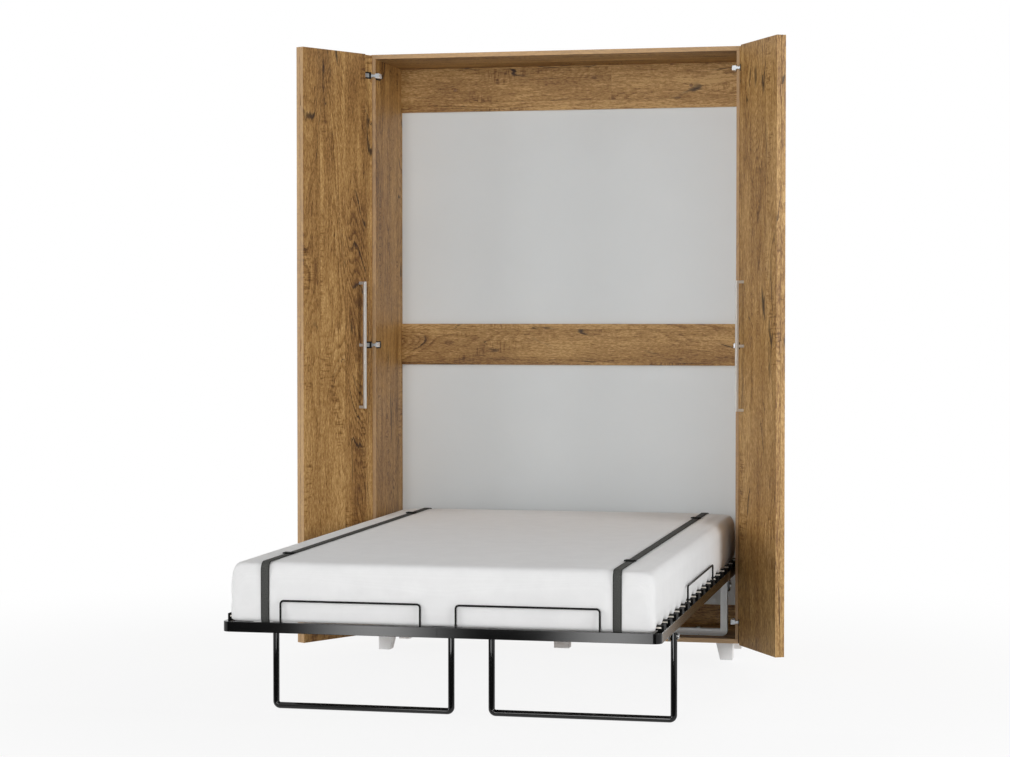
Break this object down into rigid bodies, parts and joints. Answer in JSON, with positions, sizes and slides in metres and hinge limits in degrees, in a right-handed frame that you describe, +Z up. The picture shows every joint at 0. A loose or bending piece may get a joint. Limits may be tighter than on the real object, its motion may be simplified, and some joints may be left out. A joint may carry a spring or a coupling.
{
  "type": "wall bed",
  "caption": "Vertical wall bed, open: oak cabinet on feet with folding doors, and a black steel slatted bed with a strapped mattress that turns down on fold-out U legs.",
  "frame": {"origin": "on the floor, at the centre of the whole object's plan, with the bed down and the doors open", "axes": "+X to the right seen from the room, +Y towards the wall, +Z up"},
  "size_m": [1.729, 2.139, 2.18],
  "materials": {
    "oak": "oak-grain foil, satin",
    "back_sheet": "light grey painted fibreboard, matte",
    "foot_plastic": "pale grey, satin",
    "stand_paint": "blue-grey powder coat",
    "black_steel": "black gloss enamel",
    "hinge_steel": "nickel-plated steel",
    "handle_metal": "satin anodised",
    "bolt_steel": "zinc-plated steel",
    "slat_wood": "laminated beech, clear lacquer",
    "holder_plastic": "black moulded plastic",
    "mattress_cover": "white knitted cover",
    "webbing": "dark grey woven webbing",
    "buckle_plastic": "black moulded plastic",
    "strut_paint": "black satin paint",
    "strut_chrome": "polished piston rod"
  },
  "bodies": {
    "cabinet": {"left_side_panel": "oak", "right_side_panel": "oak", "top_panel": "oak", "bottom_panel": "oak", "top_back_rail": "oak", "middle_back_rail": "oak", "bottom_back_rail": "oak", "back_panel": "back_sheet", "front_feet": "foot_plastic", "rear_feet": "foot_plastic", "centre_foot": "foot_plastic", "cabinet_screws": "bolt_steel", "support_frame": "stand_paint", "stand_screws": "bolt_steel", "pivot_pins": "bolt_steel", "hinge_arms": "hinge_steel", "hinge_pins": "hinge_steel", "strut_base_brackets": "stand_paint", "strut_base_pins": "bolt_steel"},
    "bed": {"left_frame_tube": "black_steel", "right_frame_tube": "black_steel", "left_centre_beam": "black_steel", "right_centre_beam": "black_steel", "head_rails": "black_steel", "cross_tubes": "black_steel", "frame_bolts": "bolt_steel", "left_slats": "slat_wood", "right_slats": "slat_wood", "slat_holders": "holder_plastic", "foot_bows": "black_steel", "side_bows": "black_steel", "mattress": "mattress_cover", "straps": "webbing", "strap_buckles": "buckle_plastic", "pivot_plates": "black_steel", "leg_brackets": "black_steel", "leg_bolts": "bolt_steel", "strut_bed_brackets": "black_steel"},
    "left_outer_leaf": {"left_outer_door": "oak", "left_hinge_leaves": "hinge_steel", "left_fold_flaps_outer": "hinge_steel", "left_fold_pins": "hinge_steel"},
    "left_inner_leaf": {"left_inner_door": "oak", "left_fold_flaps_inner": "hinge_steel", "left_handle": "handle_metal"},
    "left_leg_body": {"left_leg": "black_steel"},
    "left_strut_body": {"left_strut_cylinder": "strut_paint"},
    "left_strut_piston": {"left_strut_rod": "strut_chrome"},
    "right_outer_leaf": {"right_outer_door": "oak", "right_hinge_leaves": "hinge_steel", "right_fold_flaps_outer": "hinge_steel", "right_fold_pins": "hinge_steel"},
    "right_inner_leaf": {"right_inner_door": "oak", "right_fold_flaps_inner": "hinge_steel", "right_handle": "handle_metal"},
    "right_leg_body": {"right_leg": "black_steel"},
    "right_strut_body": {"right_strut_cylinder": "strut_paint"},
    "right_strut_piston": {"right_strut_rod": "strut_chrome"}
  },
  "joints": [
    {"name": "bed_lift", "type": "hinge", "parent": "cabinet", "child": "bed", "pos_m": [0, 0.764, 0.258], "axis": [-1, 0, 0], "range_deg": [0, 90]},
    {"name": "left_door_swing", "type": "hinge", "parent": "cabinet", "child": "left_outer_leaf", "pos_m": [-0.676, 0.675, 0], "axis": [0, 0, -1], "range_deg": [0, 45]},
    {"name": "left_door_fold", "type": "hinge", "parent": "left_outer_leaf", "child": "left_inner_leaf", "pos_m": [-0.85059, 0.35728, 0], "axis": [0, 0, -1], "range_deg": [0, 5]},
    {"name": "left_leg_fold", "type": "hinge", "parent": "bed", "child": "left_leg_body", "pos_m": [0, -0.6265, 0.262], "axis": [1, 0, 0], "range_deg": [0, 90]},
    {"name": "left_strut_tilt", "type": "hinge", "parent": "cabinet", "child": "left_strut_body", "pos_m": [0, 0.7415, 0.15], "axis": [-1, 0, 0], "range_deg": [0, 78]},
    {"name": "left_strut_slide", "type": "slide", "parent": "left_strut_body", "child": "left_strut_piston", "axis": [0, -0.9567, 0.2909], "range_m": [0, 0.113]},
    {"name": "right_door_swing", "type": "hinge", "parent": "cabinet", "child": "right_outer_leaf", "pos_m": [0.676, 0.675, 0], "axis": [0, 0, 1], "range_deg": [0, 45]},
    {"name": "right_door_fold", "type": "hinge", "parent": "right_outer_leaf", "child": "right_inner_leaf", "pos_m": [0.85059, 0.35728, 0], "axis": [0, 0, 1], "range_deg": [0, 5]},
    {"name": "right_leg_fold", "type": "hinge", "parent": "bed", "child": "right_leg_body", "pos_m": [0, -0.6265, 0.262], "axis": [1, 0, 0], "range_deg": [0, 90]},
    {"name": "right_strut_tilt", "type": "hinge", "parent": "cabinet", "child": "right_strut_body", "pos_m": [0, 0.7415, 0.15], "axis": [-1, 0, 0], "range_deg": [0, 78]},
    {"name": "right_strut_slide", "type": "slide", "parent": "right_strut_body", "child": "right_strut_piston", "axis": [0, -0.9567, 0.2909], "range_m": [0, 0.113]}
  ],
  "couplings": [
    {"joint": "left_leg_fold", "follows": "bed_lift", "ratio": 1},
    {"joint": "left_strut_tilt", "follows": "bed_lift", "ratio": 0.86273},
    {"joint": "left_strut_slide", "follows": "bed_lift", "m_per_rad": 0.0719},
    {"joint": "right_leg_fold", "follows": "bed_lift", "ratio": 1},
    {"joint": "right_strut_tilt", "follows": "bed_lift", "ratio": 0.86273},
    {"joint": "right_strut_slide", "follows": "bed_lift", "m_per_rad": 0.0719}
  ]
}
